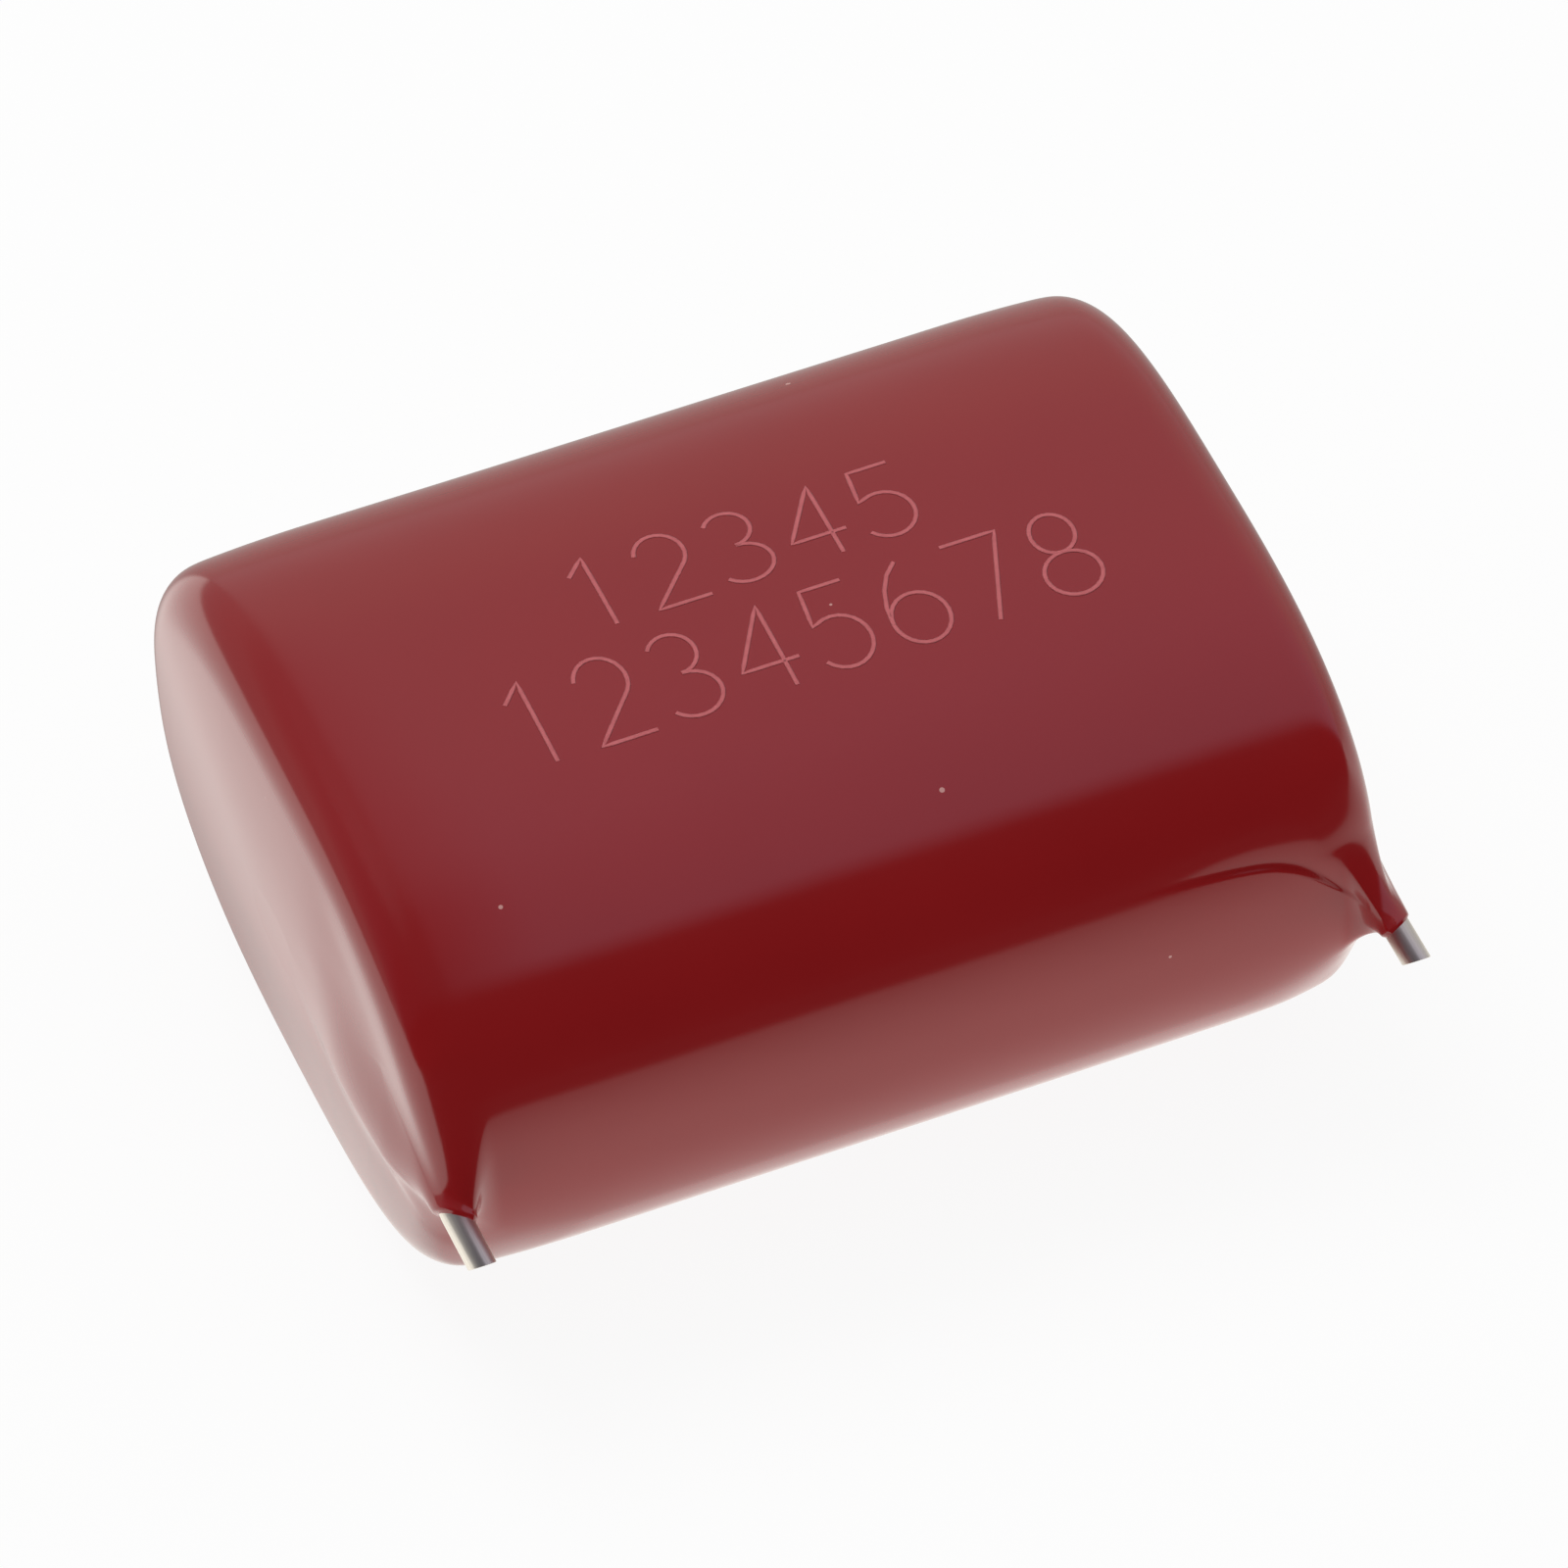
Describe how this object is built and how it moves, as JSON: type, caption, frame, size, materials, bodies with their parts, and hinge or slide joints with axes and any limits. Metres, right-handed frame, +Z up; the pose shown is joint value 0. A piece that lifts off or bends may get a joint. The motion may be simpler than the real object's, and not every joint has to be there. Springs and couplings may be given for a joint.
{
  "type": "dipped film capacitor",
  "caption": "Film capacitor: a pressed oval winding in a glossy red epoxy coat, with short wire leads at the ends of one narrow side.",
  "frame": {"origin": "middle of the flat on the underside, on which the part lies; it is under the middle of the body without the leads", "axes": "+X from the left lead to the right lead along the winding's axis, -Y the way the leads point, +Z up, square to the broad faces"},
  "size_m": [0.0294, 0.026, 0.0141],
  "materials": {
    "epoxy": "gloss",
    "metallised_film": "satin",
    "bare_film": "satin",
    "sprayed_zinc": "matte",
    "tinned_wire": "satin",
    "solder": "satin"
  },
  "bodies": {
    "root": {"epoxy_coat": "epoxy", "film_winding": "metallised_film", "outer_wrap": "bare_film", "end_spray_left": "sprayed_zinc", "end_spray_right": "sprayed_zinc", "lead_left": "tinned_wire", "lead_right": "tinned_wire", "solder_left": "solder", "solder_right": "solder"}
  },
  "joints": []
}
